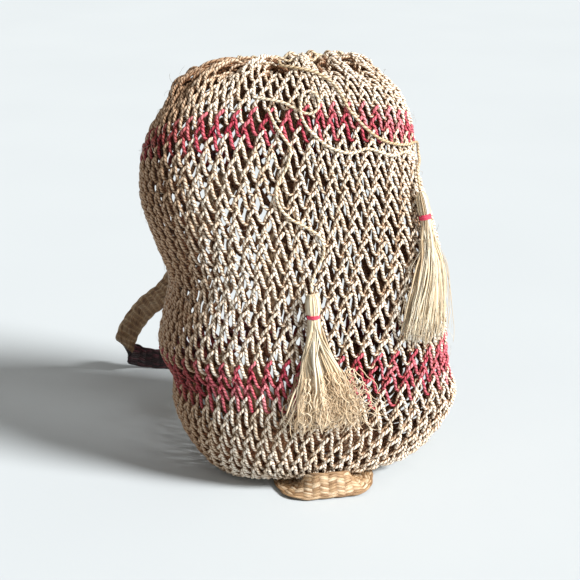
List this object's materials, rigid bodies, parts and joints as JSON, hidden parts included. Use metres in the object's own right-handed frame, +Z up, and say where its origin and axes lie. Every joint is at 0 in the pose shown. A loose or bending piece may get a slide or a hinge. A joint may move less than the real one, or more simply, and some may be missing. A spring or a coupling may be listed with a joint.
{
  "type": "woven straw drawstring backpack",
  "caption": "Stuffed sack of coarse looped straw net with dyed stripes, a gathered drawstring mouth, cord tassels and braided shoulder straps.",
  "frame": {"origin": "on the flat underside of the sack, where it rests on the floor", "axes": "+Z up towards the mouth, -Y out of the front with the tassels, +X to the wearer's left seen from the front"},
  "size_m": [0.3081, 0.3418, 0.3871],
  "materials": {
    "straw_net": "two-ply twisted straw cord, natural",
    "dyed_net": "two-ply twisted straw cord, dyed crimson",
    "cord": "twisted straw cord, natural",
    "tassel": "loose split straw",
    "tie": "wound red thread",
    "braid": "flat straw braid, natural",
    "dyed_braid": "flat straw braid, dyed dark red"
  },
  "bodies": {
    "root": {"base_net": "straw_net", "lower_stripe": "dyed_net", "middle_net": "straw_net", "upper_stripe": "dyed_net", "crown": "straw_net", "mouth_cord": "cord", "drawstring_left": "cord", "drawstring_right": "cord", "drawstring_cross": "cord", "tassel_left": "tassel", "tassel_tie_left": "tie", "tassel_right": "tassel", "tassel_tie_right": "tie", "strap_left_upper": "braid", "strap_left_dyed": "dyed_braid", "strap_left_lower": "braid", "strap_right_upper": "braid", "strap_right_dyed": "dyed_braid", "strap_right_lower": "braid"}
  },
  "joints": []
}
